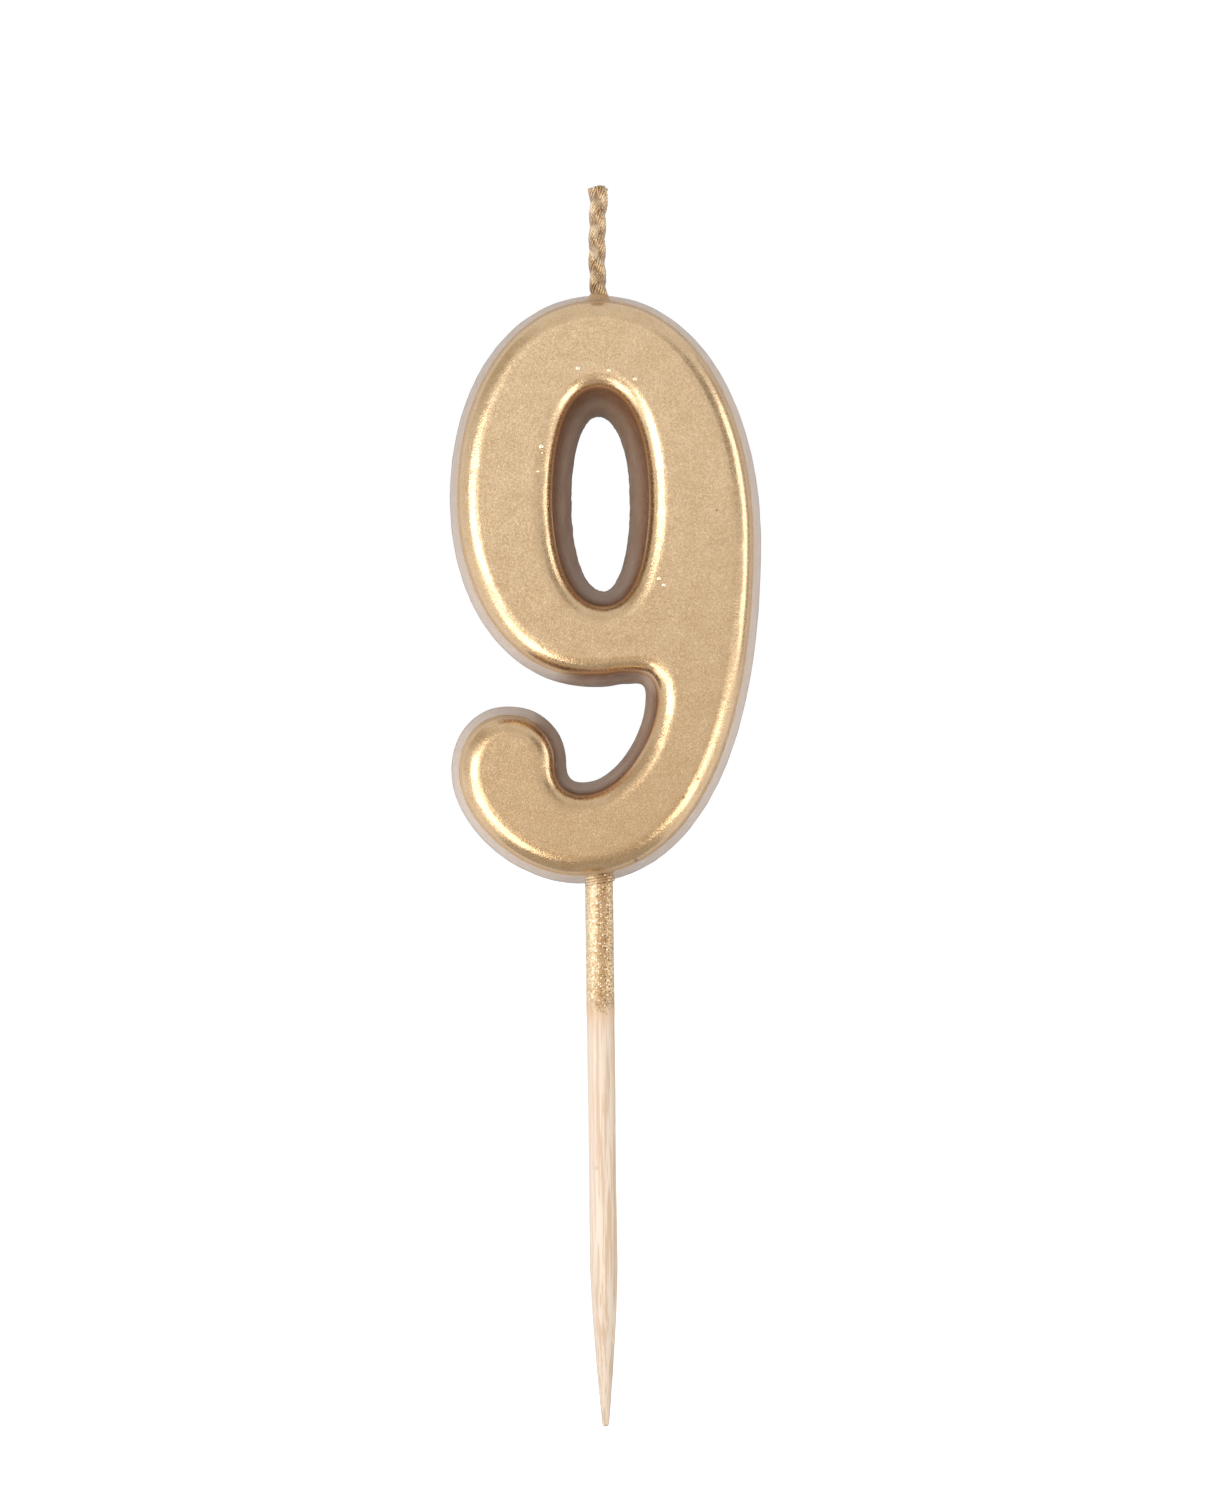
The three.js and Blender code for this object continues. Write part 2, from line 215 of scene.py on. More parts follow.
def drawLoop(mesh, turns, depth):
    verts = []
    for (kind, x, z, full), (nextKind, nextX, nextZ, _) in zip(turns, turns[1:] + turns[:1]):
        start, end = Vector((x, depth, z)), Vector((nextX, depth, nextZ))
        leaving, arriving = start.lerp(end, full), end.lerp(start, full)
        leaving = Vector((leaving.x, depth, z) if kind == "level" else (x, depth, leaving.z))
        arriving = Vector((arriving.x, depth, nextZ) if nextKind == "level" else (nextX, depth, arriving.z))
        curve = geometry.interpolate_bezier(start, leaving, arriving, end, nine["stepsOnCurve"] + 1)
        verts += [mesh.verts.new(point * mm) for point in curve[:-1]]
    return [mesh.edges.new(pair) for pair in zip(verts, verts[1:] + verts[:1])]


def insetCap(mesh, cap, inset, depth):
    if inset > 0:
        bmesh.ops.inset_region(mesh, faces=cap, thickness=inset * mm, use_boundary=True, use_even_offset=True)
    bmesh.ops.translate(mesh, verts=faceVerts(cap), vec=(0, depth * mm, 0))


def flareCounter(cap, share):   # opens the counter by this share of its extra flare
    (_, top, topZ, _), (_, right, waistZ, _), (_, _, bottomZ, _), (_, left, _, _) = nine["counter"]
    side, above, below = nine["extraFlare"]
    middle, reach = (left + right) / 2, nine["shoulder"] + nine["draft"] + 1
    for vert in faceVerts(cap):
        x, z = vert.co.x / mm, vert.co.z / mm
        across, height = (x - middle) / (right - middle), topZ - waistZ if z > waistZ else waistZ - bottomZ
        along = (z - waistZ) / height
        if abs(x - middle) < right - middle + reach and abs(z - waistZ) < height + reach:
            vert.co.x += side * share * across / max(1, math.hypot(across, along)) * mm
            vert.co.z += (above if along > 0 else below) * share * along / max(1, math.hypot(across, along)) * mm


def castNine():
    mesh = bmesh.new()
    wallBack = nine["back"] - nine["backEdge"]
    loops = drawLoop(mesh, nine["edge"], wallBack) + drawLoop(mesh, nine["counter"], wallBack)
    front = bmesh.ops.triangle_fill(mesh, edges=loops, use_beauty=True, normal=(0, -1, 0))["geom"]
    front = [part for part in front if isinstance(part, bmesh.types.BMFace)]
    for face in front:
        face.normal_update()
        if face.normal.y > 0:
            face.normal_flip()
    rear = bmesh.ops.duplicate(mesh, geom=front)["geom"]
    rear = [part for part in rear if isinstance(part, bmesh.types.BMFace)]
    bmesh.ops.reverse_faces(mesh, faces=rear)

    quarter = math.pi / 2
    lean = math.atan2(nine["draft"], wallBack - nine["face"] - nine["shoulder"])
    wallEnd = nine["face"] + nine["shoulder"] * (1 - math.sin(lean))
    for _ in range(nine["stepsOnWall"]):
        insetCap(mesh, front, nine["draft"] / nine["stepsOnWall"], (wallEnd - wallBack) / nine["stepsOnWall"])
        flareCounter(front, 1 / nine["stepsOnWall"])
    angles = [lean + (quarter - lean) * step / nine["stepsOnShoulder"] for step in range(nine["stepsOnShoulder"] + 1)]
    for before, after in zip(angles, angles[1:]):
        inset = nine["shoulder"] * (math.cos(before) - math.cos(after))
        insetCap(mesh, front, inset, nine["shoulder"] * (math.sin(before) - math.sin(after)))
    insetCap(mesh, front, nine["flatMargin"], 0)

    for step in range(nine["stepsOnBackEdge"]):
        before, after = [quarter * (step + part) / nine["stepsOnBackEdge"] for part in (0, 1)]
        insetCap(mesh, rear, nine["backEdge"] * (math.cos(before) - math.cos(after)),
                 nine["backEdge"] * (math.sin(after) - math.sin(before)))
    insetCap(mesh, rear, nine["flatMargin"], 0)
    bmesh.ops.remove_doubles(mesh, verts=mesh.verts, dist=0.001 * mm)
    roughenBackEdge(mesh)
    turnRing(mesh, nine["collar"], nine["stepsOnCollar"])
    return mesh


def roughenBackEdge(mesh):
    (middleX, middleZ), (reachX, reachZ) = nine["counterMiddle"], nine["counterReach"]
    depth = (nine["back"] - nine["backEdge"] - 0.1) * mm   # a little before the rounding of the edge
    for vert in mesh.verts:
        if vert.co.y < depth:
            continue
        place = vert.co / mm
        inCounter = abs(place.x - middleX) < reachX and abs(place.z - middleZ) < reachZ
        scale, size = ("flashScale", "flash") if inCounter else ("waverScale", "waver")
        inward = Vector((middleX - place.x, 0, middleZ - place.z)).normalized()
        vert.co += inward * abs(noise.noise(place * nine[scale])) * nine[size] * mm


# beads of lacquer dried on the face and the counter's shoulder: place, and radius
beads = [(-1.94, -4.28, 47.6, 0.22), (0.93, -4.28, 47.4, 0.2), (3.3, -4.26, 46.6, 0.22), (5.5, -4.28, 28.25, 0.22),
         (5.95, -4.28, 27.65, 0.19), (-5.3, -4.22, 40.4, 0.26), (-5.15, -4.17, 39.8, 0.18), (-5.6, -4.28, 38.1, 0.15)]
beadHeight = 0.7   # as a share of their width


def dropBeads(mesh):
    for x, y, z, radius in beads:
        bead = bmesh.ops.create_icosphere(mesh, subdivisions=3, radius=radius * mm)["verts"]
        bmesh.ops.scale(mesh, verts=bead, vec=(1, beadHeight, 1))
        bmesh.ops.translate(mesh, verts=bead, vec=Vector((x, y, z)) * mm)


def coatOver(mesh, keep, lift, thickness):   # a thin closed shell over the faces that keep() picks
    coat = mesh.copy()
    bmesh.ops.delete(coat, geom=[face for face in coat.faces if not keep(face)], context="FACES")
    coat.normal_update()
    for vert, normal in [(vert, vert.normal.copy()) for vert in coat.verts]:
        vert.co += normal * (lift + thickness) * mm
    bmesh.ops.solidify(coat, geom=coat.faces, thickness=thickness * mm)
    return coat


# finishes; first the counter and the notch, whose walls the lamps hardly reach and which are painted darker as shade:
# middle, reach sideways and upwards
hollows = [(*nine["counterMiddle"], 6.3, 12.2), (0.6, 13.6, 6.6, 7.0)]
hollowEnds = (0.7, 1.25)   # where they fade out, as shares of the reach, squared
floorEnds = (0.2, 0.7)   # how far below their middle their floors begin


def insideHollows(finish, x, z):   # 1 within the counter and the notch, 0 on the outer walls; and from -1 to 1 up them
    inside, rise = 0, 0
    for middleX, middleZ, reachX, reachZ in hollows:
        across, along = (x - middleX) / reachX, (z - middleZ) / reachZ
        share = 1 - (across * across + along * along).ease(*hollowEnds)
        inside, rise = share.atLeast(inside), share * along + rise
    return inside, rise


waxLook = dict(   # colours, and depths or heights between which one gives way to another
    # hollow and dark: painted shade for the walls of the counter and the notch
    pale=colour(199, 180, 165), streak=colour(190, 171, 157), hollow=colour(170, 143, 120), dark=colour(160, 132, 110),
    mist=colour(192, 162, 128), paintedShadeBrown=colour(116, 78, 48), ghost=colour(184, 148, 106), edge=colour(134, 116, 104),
    rearEnds=(4.0, 4.24), edgeShadeEnds=(3.1, 3.8),   # the back, and the darker band of painted shade beside it
    mistEnds=(-2.2, 0.7), crownEnds=(50, 54.6), crownMist=1.6,   # gold mist behind the film, and more at the crown
    rootHeight=54.4, rootEnds=(0.8, 1.9),   # gold round the foot of the wick
    marks=(0.12, 2.2, 0.12), roughness=(0.38, 0.55), hollowRoughness=0.2, bump=0.3, bumpDepth=0.06,
    scatter=(1.0, 0.72, 0.55), scatterDepth=1.0, weight=0.2,
)


def waxFinish():
    finish = Finish("unpaintedWax")
    here = finish.place()
    x, y, z = finish.axes(here)
    inside, rise = insideHollows(finish, x, z)
    rear = y.ease(*waxLook["rearEnds"])
    inside = inside * (1 - rear)
    pull = finish.grain(finish.place(scale=waxLook["marks"]), 1, 4, 0.6)   # left by the mould
    pale = finish.blend(pull.ease(0.42, 0.68), waxLook["pale"], waxLook["streak"])
    # painted shade: the walls of the counter and the notch darker than the outer walls
    deepToneAndShade = finish.blend(finish.grain(here, 0.4, 4, 0.6).ease(0.4, 0.62), waxLook["hollow"], waxLook["dark"])
    # painted shade: the hollows' walls browner towards the right
    tone = finish.blend(inside, pale, finish.blend(x.ease(-3, 3) * 0.36, deepToneAndShade, waxLook["paintedShadeBrown"]))
    tone = finish.blend((rise * -1).ease(*floorEnds) * (1 - rear) * 0.38, tone, waxLook["pale"])   # painted light on the floors of the hollows
    ragged = finish.grain(here, 5, 4, 0.7) * (1.6 - inside * 0.9)
    crown = z.ease(*waxLook["crownEnds"]) * waxLook["crownMist"]
    depth = y + inside * 0.2 - rise * 0.5 - crown + ragged - 0.8
    # the gold mist behind the film; in the hollows it turns to a dark brown of painted shade
    spray = (1 - depth.ease(*waxLook["mistEnds"])) * (inside * 0.25 + 0.75)
    tone = finish.blend(spray, tone, finish.blend(inside, waxLook["mist"], waxLook["paintedShadeBrown"]))
    # painted shade: a darker band along the walls just before the back
    tone = finish.blend(y.ease(*waxLook["edgeShadeEnds"]) * (1 - rear) * 0.9, tone, waxLook["edge"])
    aboveRoot = z - waxLook["rootHeight"]
    wickRoot = ((x * x + y * y + aboveRoot * aboveRoot) ** 0.5).ease(*waxLook["rootEnds"])
    tone = finish.blend((1 - wickRoot) * 0.8, tone, waxLook["ghost"])
    relief = pull * (1 - inside * 0.85) * 0.7 + finish.grain(here, 3, 3) * 0.3
    normal = finish.bump(relief, waxLook["bump"], waxLook["bumpDepth"])
    rough = finish.grain(here, 1.3).ease(0.3, 0.7, *waxLook["roughness"]) + inside * waxLook["hollowRoughness"]
    finish.shade(Base_Color=tone, Roughness=rough,
                 Subsurface_Weight=waxLook["weight"], Subsurface_Radius=waxLook["scatter"],
                 Subsurface_Scale=waxLook["scatterDepth"] * mm, Specular_IOR_Level=0.22, Normal=normal)
    return finish.material


goldLook = dict(   # colours, and depths between which they begin
    face=colour(212, 185, 149), shade=colour(184, 153, 115), low=colour(189, 159, 123), glint=colour(250, 228, 186),
    beadGlossAndHighlight=colour(240, 222, 190), amber=colour(186, 132, 76), wornAndShaded=colour(120, 80, 50), flakeScale=8.5,
    amberEnds=(-3.6, -3.0), wornEnds=(-3.25, -2.65), outerEnds=(-3.4, -2.6), dropEnds=(4.31, 4.34),
    fadeEnds=(-2.8, -0.3), hollowFade=(0.5, 1.3),   # the film's end, and how much sooner it comes in the hollows
    crinkleEnds=(-4.296, -3.9), crinkleSoft=(0.05, 0.15), lowHeights=(-8, 46), lowDepths=(-4.28, -3.9),
    specks=[(10.83, 34.5, 0.13), (9.1, 9.8, 0.2), (7.8, 8.1, 0.2), (3.4, 2.3, 0.22)],
)


def goldFinish():
    finish = Finish("goldLacquer")
    here = finish.place()
    x, y, z = finish.axes(here)
    inside, rise = insideHollows(finish, x, z)
    flake = finish.axes(finish.cells(here, goldLook["flakeScale"], "Color"))[0]
    fine = finish.grain(here, 5.5, 3, 0.6)
    cloud = finish.grain(here, 0.5, 5, 0.6)
    # painted shade: the flat face darker and more mottled towards the bottom
    paintedLowShade = (1 - z.ease(*goldLook["lowHeights"])) * (1 - y.ease(*goldLook["lowDepths"]) * 0.7)
    tone = finish.blend(paintedLowShade, goldLook["face"], goldLook["low"])
    tone = finish.blend((cloud * 0.35 + fine * 0.65).ease(0.36, 0.64) * (paintedLowShade * 0.5 + 0.62), tone, goldLook["shade"])
    tone = finish.blend(flake.ease(0.86, 1, 0, 0.1), tone, goldLook["glint"])
    # painted highlight: the beads of lacquer paler; they are also a little glossier
    beadGlossAndHighlight = (y * -1).ease(*goldLook["dropEnds"])
    tone = finish.blend(beadGlossAndHighlight, tone, goldLook["beadGlossAndHighlight"])
    # the depth by which the coat thins out, sooner at the upper and lower ends of the hollows
    thin = y + rise.atLeast(-0.2) * 0.4 + (rise * -1).ease(*floorEnds) * 0.35
    amber = thin.ease(*goldLook["amberEnds"]) * inside
    outer = y.ease(*goldLook["outerEnds"]) * (1 - inside)
    # the coat thinning to brown at its end, partly real and partly painted shade, darker in the hollows and on their
    # floors
    wornAndShaded = thin.ease(*goldLook["wornEnds"]) * (inside * 0.9 + 0.1)
    tone = finish.blend(amber * 0.9 + outer * 0.22, tone, goldLook["amber"])
    tone = finish.blend(wornAndShaded, tone, goldLook["wornAndShaded"])
    for speckX, speckZ, size in goldLook["specks"]:
        reach = ((x - speckX) * (x - speckX) + (z - speckZ) * (z - speckZ)) ** 0.5
        tone = finish.blend((1 - (reach + fine * 0.12 - 0.06).ease(size * 0.4, size)) * 0.8, tone, goldLook["wornAndShaded"])
    (start, end), (softStart, softEnd) = goldLook["crinkleEnds"], goldLook["crinkleSoft"]
    crinkled = y.ease(start, start + softStart) * (1 - y.ease(end - softEnd, end))
    crinkled = crinkled * finish.grain(here, 0.33, 2).ease(0.42, 0.56)
    normal = finish.bump(finish.grain(here, 3.0, 2, 0.5), 0.35, 0.03)
    normal = finish.bump(finish.grain(here, 6, 2, 0.6) * crinkled, 0.5, 0.05, normal)
    normal = finish.bump(fine, 0.3, 0.018, normal)
    normal = finish.bump(flake, 0.22, 0.01, normal)
    (start, end), (sooner, soonerEnd) = goldLook["fadeEnds"], goldLook["hollowFade"]
    cover = 1 - y.ease(start - inside * sooner, end - inside * soonerEnd)
    alpha = (cover * 1.6 - 0.3 + (finish.grain(here, 6, 4, 0.8) - 0.5) * (2.4 - inside * 1.9)).ease(0, 1)
    finish.shade(Base_Color=tone, Metallic=0.95 - (amber + wornAndShaded) * 0.42 - outer * 0.8,
                 Roughness=flake.ease(0, 1, 0.18, 0.32) + wornAndShaded * 0.55 + outer * 0.45 - beadGlossAndHighlight * 0.08,
                 Specular_IOR_Level=0.25, Alpha=alpha, Normal=normal)
    return finish.material


waxSolid = castNine()
filmEnd = (nine["face"] + nine["shoulder"] + nine["filmEnd"]) * mm
goldFilm = coatOver(waxSolid, lambda face: face.calc_center_median().y < filmEnd, nine["filmLift"], nine["film"])
dropBeads(goldFilm)
waxBody = finishMesh("castWaxNine", waxSolid, waxFinish())
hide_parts("wax_numeral")
goldCoat = finishMesh("goldFaceFilm", goldFilm, goldFinish())
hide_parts("gold_face_lacquer")
goldCoat.visible_shadow = False   # or the wax would look dark where the film thins out
print("nine cast:", len(waxBody.data.polygons), "faces, film", len(goldCoat.data.polygons))


# the pick: turned wood with a fine grain, leaning a little
pick = dict(
    radius=1.28, head=7.1, chamfer=0.3, tip=-50.2, point=15.5, belly=4.8, tipRadius=0.32, lean=0.72,
    sides=64, stepsOnShank=150, stepsOnPoint=60, stepsOnTip=6,
    grainDepth=0.012, lineScale=(3.1, 3.1, 0.09), dentScale=(1.2, 1.2, 0.5), dentShift=(9, 0, 0), dentDepth=0.8,
    filmLift=0.006, film=0.02, filmTop=1.6, filmEnd=-13.2, sink=0.04, sinkLength=1.2,
    rings=3, ringTilt=11, ringsTop=0.95, ringPitch=0.28, ringBulge=0.08, ringLift=0.05, ringsInner=1.1, stepsOnRing=4,
)


def ringOutline():   # fine ridges of lacquer where the pick leaves the wax, as a closed outline
    outer, steps = pick["radius"] + pick["ringLift"], pick["stepsOnRing"]
    outline = [(pick["ringsInner"], pick["ringsTop"] + 0.3)]
    for step in range(pick["rings"] * steps + 1):
        swell = pick["ringBulge"] * math.sin(math.pi * step / steps) ** 2
        outline.append((outer + swell, pick["ringsTop"] - step / steps * pick["ringPitch"]))
    return outline + [(pick["ringsInner"], pick["ringsTop"] - (pick["rings"] + 0.4) * pick["ringPitch"])]


def pickProfile():   # radius and height, from the head to the tip
    shankZ, pointZ = pick["head"] - pick["chamfer"], pick["tip"] + pick["point"]
    tipCentreZ = pick["tip"] + pick["tipRadius"]
    rows = [(pick["radius"] - pick["chamfer"], pick["head"]), (pick["radius"], shankZ)]
    for step in range(1, pick["stepsOnShank"] + 1):
        rows.append((pick["radius"], shankZ + (pointZ - shankZ) * step / pick["stepsOnShank"]))
    for step in range(1, pick["stepsOnPoint"] + 1):
        share = step / pick["stepsOnPoint"]
        rest = 1 - share
        radius = pick["radius"] * (rest * rest + 2 * rest * share) + pick["tipRadius"] * share * share
        height = pointZ * rest * rest + (pointZ - pick["belly"]) * 2 * rest * share + tipCentreZ * share * share
        rows.append((radius, height))
    for step in range(1, pick["stepsOnTip"]):
        angle = math.pi / 2 * step / pick["stepsOnTip"]
        rows.append((pick["tipRadius"] * math.cos(angle), tipCentreZ - pick["tipRadius"] * math.sin(angle)))
    return rows


def turnPick():
    mesh = bmesh.new()
    rows = pickProfile()
    ring = bmesh.ops.create_circle(mesh, segments=pick["sides"], radius=rows[0][0] * mm, cap_ends=True)["verts"]
    bmesh.ops.translate(mesh, verts=ring, vec=(0, 0, rows[0][1] * mm))
    edges = list({edge for vert in ring for edge in vert.link_edges})
    for (radius, height), (nextRadius, nextHeight) in zip(rows, rows[1:]):
        made = bmesh.ops.extrude_edge_only(mesh, edges=edges)["geom"]
        ring = [part for part in made if isinstance(part, bmesh.types.BMVert)]
        edges = [part for part in made if isinstance(part, bmesh.types.BMEdge)]
        edges = [edge for edge in edges if all(vert in ring for vert in edge.verts)]
        bmesh.ops.scale(mesh, verts=ring, vec=(nextRadius / radius, nextRadius / radius, 1))
        bmesh.ops.translate(mesh, verts=ring, vec=(0, 0, (nextHeight - height) * mm))
    bmesh.ops.contextual_create(mesh, geom=edges)
    for vert in mesh.verts:
        place = vert.co / mm
        lines = noise.noise(place * Vector(pick["lineScale"]))
        dents = noise.noise(place * Vector(pick["dentScale"]) + Vector(pick["dentShift"]))
        vert.co += Vector((place.x, place.y, 0)) * (lines + dents * pick["dentDepth"]) * pick["grainDepth"] * mm
    bmesh.ops.rotate(mesh, verts=mesh.verts, cent=(0, 0, 0),
                     matrix=Matrix.Rotation(math.radians(-pick["lean"]), 3, "Y"))
    bmesh.ops.recalc_face_normals(mesh, faces=mesh.faces)
    return mesh


def sinkEnd(mesh):   # the film's lower end runs down into the wood
    for vert in mesh.verts:
        share = 1 - min(1, (vert.co.z / mm - pick["filmEnd"]) / pick["sinkLength"])
        out = Vector((vert.co.x + vert.co.z * math.tan(math.radians(pick["lean"])), vert.co.y, 0)).normalized()
        vert.co -= out * share * pick["sink"] * mm


woodLook = dict(
    pale=colour(212, 196, 182), warm=colour(222, 204, 184), pink=colour(218, 198, 177), fleck=colour(196, 165, 134),
    gilt=colour(204, 164, 118), giltEnds=(-15, -11), knotX=-0.21, knotZ=-26.2, knotEnds=(0.06, 0.2),
    lineStretch=0.03, poreStretch=0.14, bump=0.5, bumpDepth=0.03, roughness=(0.5, 0.65), scatterDepth=0.4,
)


def woodTone(finish):   # its colour, and the height of its fine lines
    along = finish.place(scale=(1, 1, woodLook["lineStretch"]))
    x, y, z = finish.axes(finish.place())
    bands = finish.grain(along, 1.1, 3, 0.5, 0.3)
    lines = finish.grain(along, 4.6, 3, 0.6)
    tone = finish.blend((x * 0.35 + bands).ease(0.3, 0.7), woodLook["pale"], woodLook["warm"])   # painted light: paler on the left side
    # painted shade: the pink streaks and darker flecks stronger towards the right side
    streaks = finish.grain(along, 2.6, 3).ease(0.46, 0.66) * (x.ease(-1, 0.3) * 0.5 + 0.15)
    tone = finish.blend(streaks, tone, woodLook["pink"])
    tone = finish.blend(lines.ease(0.44, 0.6) * (x.ease(-1, 0.1) * 0.5 + 0.3), tone, woodLook["fleck"])
    pores = finish.cells(finish.place(scale=(1, 1, woodLook["poreStretch"])), 4)
    tone = finish.blend((1 - pores.ease(0.03, 0.14)) * 0.6, tone, woodLook["fleck"])
    beside, above = x - woodLook["knotX"], z - woodLook["knotZ"]
    knot = (beside * beside + above * above * 0.4) ** 0.5
    tone = finish.blend((1 - knot.ease(*woodLook["knotEnds"])) * (1 - y.ease(-0.8, 0)) * 0.8, tone, woodLook["fleck"])
    gilt = (z + finish.grain(along, 1.4, 2) * 4 - 2).ease(*woodLook["giltEnds"])
    return finish.blend(gilt * 0.6, tone, woodLook["gilt"]), lines


def woodFinish():
    finish = Finish("bareBirch")
    tone, lines = woodTone(finish)
    fuzz = finish.grain(finish.place(scale=(1, 1, 0.4)), 6) * 0.4
    normal = finish.bump(lines + fuzz, woodLook["bump"], woodLook["bumpDepth"])
    finish.shade(Base_Color=tone, Roughness=lines.ease(0.3, 0.7, *woodLook["roughness"]), Normal=normal,
                 Subsurface_Weight=0.1, Subsurface_Radius=(1, 0.6, 0.4), Subsurface_Scale=woodLook["scatterDepth"] * mm)
    return finish.material


sprayLook = dict(
    face=colour(214, 190, 154), shade=colour(152, 116, 72), pit=colour(84, 58, 34), paintedHighlight=colour(242, 230, 206),
    grooveShade=colour(134, 102, 66), ringSlope=0.2, ringShift=0.04, end=-12.6, fade=3, pitScale=5.2,
    bump=0.8, bumpDepth=0.04, metal=0.6, roughness=(0.32, 0.5),
)


def sprayFinish():
    finish = Finish("goldOverspray")
    here = finish.place()
    x, y, z = finish.axes(here)
    pits = finish.cells(here, sprayLook["pitScale"])
    dotted = finish.axes(finish.cells(here, sprayLook["pitScale"], "Color"))
    mottle = finish.grain(here, 5, 4, 0.75)
    # painted shade: a darker brown band from the middle to the right of the pick
    paintedShadeBrown = (x + finish.grain(here, 0.9, 3) * 1.4 - 0.7).ease(-0.7, 0.1)
    tone = finish.blend(mottle.ease(0.4, 0.6) * (paintedShadeBrown * 0.5 + 0.45), sprayLook["face"], sprayLook["shade"])
    tone = finish.blend(paintedShadeBrown * (1 - x.ease(0.5, 1.0)) * 0.7, tone, sprayLook["shade"])
    # painted highlight: paler on the left side, and pale dots as glints
    tone = finish.blend((1 - x.ease(-0.7, 0)) * mottle.ease(0.4, 0.5, 0.5, 0), tone, sprayLook["paintedHighlight"])
    tone = finish.blend((1 - pits.ease(0.2, 0.55)) * dotted[0].ease(0.4, 0.9), tone, sprayLook["paintedHighlight"])
    pitted = (1 - pits.ease(0.3, 0.5)) * (paintedShadeBrown * 0.7 + 0.3) * dotted[1].ease(0.66, 0.74)
    tone = finish.blend(pitted, tone, sprayLook["pit"])
    level = z - x * sprayLook["ringSlope"]   # along the ridges where the pick leaves the wax
    turns = (level - sprayLook["ringShift"]) * (math.tau / pick["ringPitch"])
    wave = finish.node("ShaderNodeMath", dict(operation="SINE"), {0: turns})
    # painted shade in the grooves between the ridges
    grooveShade = wave.ease(0.3, 0.9) * level.ease(-0.1, 0.1) * (1 - level.ease(0.7, 0.8))
    tone = finish.blend(grooveShade * 0.8, tone, sprayLook["grooveShade"])
    end, speckle = sprayLook["end"], finish.grain(here, 5, 3, 0.8)
    fade = (z + finish.grain(here, 0.9, 2) * 2.4 - 1.2).ease(end, end + sprayLook["fade"])
    cover = (fade * 1.5 - 0.25 + (speckle - 0.5) * 2.4).ease(0, 1)
    wood, lines = woodTone(finish)
    tone = finish.blend(cover, wood, tone)
    relief = (mottle * 2.2 + pits * 0.7 - lines) * cover + lines
    bare = lines.ease(0.3, 0.7, *woodLook["roughness"])
    rough = (mottle.ease(0.3, 0.7, *sprayLook["roughness"]) - bare) * cover + bare
    finish.shade(Base_Color=tone, Metallic=cover * sprayLook["metal"], Roughness=rough,
                 Normal=finish.bump(relief, sprayLook["bump"], sprayLook["bumpDepth"]))
    return finish.material


pickSolid = turnPick()
spraySolid = coatOver(pickSolid, lambda face: pick["filmEnd"] < face.calc_center_median().z / mm < pick["filmTop"],
                      pick["filmLift"], pick["film"])
sinkEnd(spraySolid)
rings = turnRing(spraySolid, ringOutline(), pick["sides"])
bmesh.ops.rotate(spraySolid, verts=rings, cent=(0, 0, pick["ringsTop"] * mm),
                 matrix=Matrix.Rotation(math.radians(-pick["ringTilt"]), 3, "Y"))
woodPick = finishMesh("birchPick", pickSolid, woodFinish())
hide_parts("wooden_pick")
pickFilm = finishMesh("pickOverspray", spraySolid, sprayFinish())
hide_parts("pick_gold_lacquer")
print("pick turned:", len(woodPick.data.polygons), "faces")


# the wick: three strands of twisted yarns, plaited, with a frayed end and its buried core
wick = dict(
    crown=54.8, length=9.9, tuck=2.4, pitch=6.6, swing=0.31, depth=0.26, bow=0.18, strand=0.44, coreCut=1.5,
    yarns=11, yarnRadius=0.12, yarnRing=0.39, coreRadius=0.31, twistPitch=5.2, wander=0.03, steps=150,
    fray=0.22, unevenTop=0.12, domedTop=0.34,
    hairs=12, hairRadius=0.012, hairStart=0.3, hairRise=(-0.2, 0.5), hairReach=(0.12, 0.3),
)


def strandCentre(z, phase):
    free = max(0, (z - wick["crown"]) / wick["length"])
    angle = ((z - wick["crown"]) / wick["pitch"] + phase) * 2 * math.pi
    swing = wick["swing"] + wick["fray"] * free ** 8
    x = swing * math.sin(angle) - wick["bow"] * math.sin(free ** 0.7 * math.pi)
    return Vector((x, wick["depth"] * math.sin(2 * angle), z))


def yarnPath(phase, yarn, rng):
    points = []
    bottom, top = wick["crown"] - wick["tuck"], wick["crown"] + wick["length"]
    lastTurn = 2 * math.pi * (top / wick["twistPitch"] + yarn / wick["yarns"])
    end = strandCentre(top, phase) + Vector((math.cos(lastTurn), math.sin(lastTurn), 0)) * wick["yarnRing"]
    top -= rng.random() * wick["unevenTop"] + wick["domedTop"] * (end.x * end.x + end.y * end.y)
    for step in range(wick["steps"] + 1):
        z = bottom + (top - bottom) * step / wick["steps"]
        free = max(0, (z - wick["crown"]) / wick["length"])
        turn = 2 * math.pi * (z / wick["twistPitch"] + yarn / wick["yarns"])
        reach = wick["yarnRing"] * (1 + 0.15 * free ** 10) if yarn < wick["yarns"] else 0
        wander = wick["wander"] * noise.noise(Vector((z * 1.3, yarn * 3.3, phase * 9)))
        centre = strandCentre(z, phase)
        points.append(centre + Vector(((reach + wander) * math.cos(turn), (reach + wander) * math.sin(turn), 0)))
    return points


def yarnMesh(name, paths, radius, sides):
    data = bpy.data.curves.new(name, "CURVE")
    data.dimensions = "3D"
    data.bevel_depth = radius * mm
    data.bevel_resolution = sides
    data.use_fill_caps = True
    for path in paths:
        spline = data.splines.new("POLY")
        spline.points.add(len(path) - 1)
        for place, point in zip(spline.points, path):
            place.co = (*(point * mm), 1)
    drawn = bpy.data.objects.new(name, data)
    mesh = bmesh.new()
    mesh.from_mesh(drawn.to_mesh())
    drawn.to_mesh_clear()
    bpy.data.objects.remove(drawn)
    return mesh


